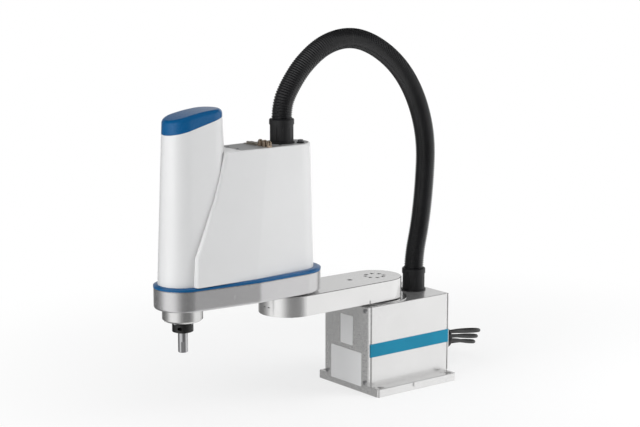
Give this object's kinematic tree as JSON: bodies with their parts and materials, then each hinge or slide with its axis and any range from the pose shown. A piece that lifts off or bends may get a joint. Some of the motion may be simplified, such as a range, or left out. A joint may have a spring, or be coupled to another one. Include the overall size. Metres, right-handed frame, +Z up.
{
  "type": "scara robot",
  "caption": "Four-axis SCARA robot: flanged base, two horizontal arms, white drive housing, vertical tool shaft and an arched conduit from base to second arm.",
  "frame": {"origin": "centre of the base bolt pattern on the mounting face", "axes": "+X to the front, along the stretched arms; +Y to the side that the picture shows; +Z up, away from the mounting face"},
  "size_m": [0.7947, 0.469, 0.625],
  "materials": {
    "cast_silver": "bead blasted and painted silver",
    "machined": "machined",
    "steel": "ground",
    "shaft_chrome": "ground and polished",
    "dark_steel": "black oxide",
    "teal_band": "gloss",
    "blue_trim": "gloss",
    "white_shell": "gloss",
    "grey_plate": "satin",
    "black_plastic": "satin",
    "cable_rubber": "matt",
    "belt_rubber": "matt",
    "motor_paint": "satin",
    "fitting_brass": "nickel plated",
    "connector_metal": "plated",
    "button_plastic": "satin"
  },
  "bodies": {
    "base": {"base_casting": "cast_silver", "base_front_cover": "cast_silver", "base_rear_panel": "machined", "base_cover_screws": "steel", "base_side_band_left": "teal_band", "base_side_band_right": "teal_band", "base_conduit_fitting": "black_plastic", "j1_retainer_ring": "machined", "j1_bearing_outer": "steel", "j1_reducer": "steel", "j1_motor": "motor_paint", "cable_gland": "black_plastic", "rear_cable_a": "cable_rubber", "rear_cable_b": "cable_rubber", "rear_cable_c": "cable_rubber", "rear_cable_coil_a": "cable_rubber", "rear_cable_coil_b": "cable_rubber", "rear_cable_coil_c": "cable_rubber", "rear_cable_connectors": "black_plastic", "umbilical_conduit": "black_plastic"},
    "arm_1": {"arm_1_casting": "cast_silver", "arm_1_bottom_cover": "machined", "arm_1_cover_screws": "steel", "arm_1_j1_screws": "steel", "arm_1_j2_screws": "steel", "arm_1_plug_screw": "steel", "j1_output_hub": "steel", "j2_output_hub": "steel"},
    "arm_2": {"arm_2_casting": "cast_silver", "arm_2_trim": "blue_trim", "housing_column": "white_shell", "housing_cover": "white_shell", "housing_cap": "blue_trim", "housing_top_plate": "grey_plate", "top_plate_screws": "steel", "top_conduit_fitting": "black_plastic", "user_connector": "connector_metal", "air_fittings": "fitting_brass", "brake_button_bezel": "black_plastic", "j2_bearing_outer": "steel", "j2_reducer": "steel", "j2_motor": "motor_paint", "motor_bracket": "cast_silver", "bracket_standoffs": "machined", "z_motor": "motor_paint", "j4_motor": "motor_paint", "z_belt": "belt_rubber", "j4_belt": "belt_rubber", "quill_flange": "machined", "spline_bearing": "steel", "nut_bearing": "steel"},
    "spline": {"spline_nut": "steel"},
    "shaft": {"shaft": "shaft_chrome", "stop_collar": "dark_steel", "shaft_top_ring": "dark_steel"},
    "screw_nut": {"ball_screw_nut": "steel"},
    "z_pulley": {"z_motor_pulley": "machined"},
    "j4_pulley": {"j4_motor_pulley": "machined"},
    "button": {"brake_button": "button_plastic"}
  },
  "joints": [
    {"name": "j1", "type": "hinge", "parent": "base", "child": "arm_1", "pos_m": [0.0305, 0, 0.157], "axis": [0, 0, 1], "range_deg": [-125, 125], "deforming": ["umbilical_conduit"]},
    {"name": "j2", "type": "hinge", "parent": "arm_1", "child": "arm_2", "pos_m": [0.2185, 0, 0.195], "axis": [0, 0, 1], "range_deg": [-120, 120], "deforming": ["umbilical_conduit"]},
    {"name": "j4", "type": "hinge", "parent": "arm_2", "child": "spline", "pos_m": [0.4305, 0, 0.174], "axis": [0, 0, 1], "range_deg": [-360, 360]},
    {"name": "z_stroke", "type": "slide", "parent": "spline", "child": "shaft", "axis": [0, 0, -1], "range_m": [0, 0.15]},
    {"name": "screw_nut_spin", "type": "hinge", "parent": "arm_2", "child": "screw_nut", "pos_m": [0.4305, 0, 0.24], "axis": [0, 0, 1], "range_deg": [-5, 2705]},
    {"name": "z_pulley_spin", "type": "hinge", "parent": "arm_2", "child": "z_pulley", "pos_m": [0.3485, 0, 0.24], "axis": [0, 0, 1], "range_deg": [-10, 5410]},
    {"name": "j4_pulley_spin", "type": "hinge", "parent": "arm_2", "child": "j4_pulley", "pos_m": [0.2925, 0, 0.24], "axis": [0, 0, 1], "range_deg": [-605, 605]},
    {"name": "brake_button_press", "type": "slide", "parent": "arm_2", "child": "button", "axis": [0, 0, -1], "range_m": [0, 0.002], "stiffness_N_per_m": 400, "springref_m": -0.002}
  ],
  "couplings": [
    {"joint": "screw_nut_spin", "follows": "z_stroke", "rad_per_m": 314.16},
    {"joint": "z_pulley_spin", "follows": "z_stroke", "rad_per_m": 628.32},
    {"joint": "j4_pulley_spin", "follows": "j4", "ratio": 1.6667}
  ]
}
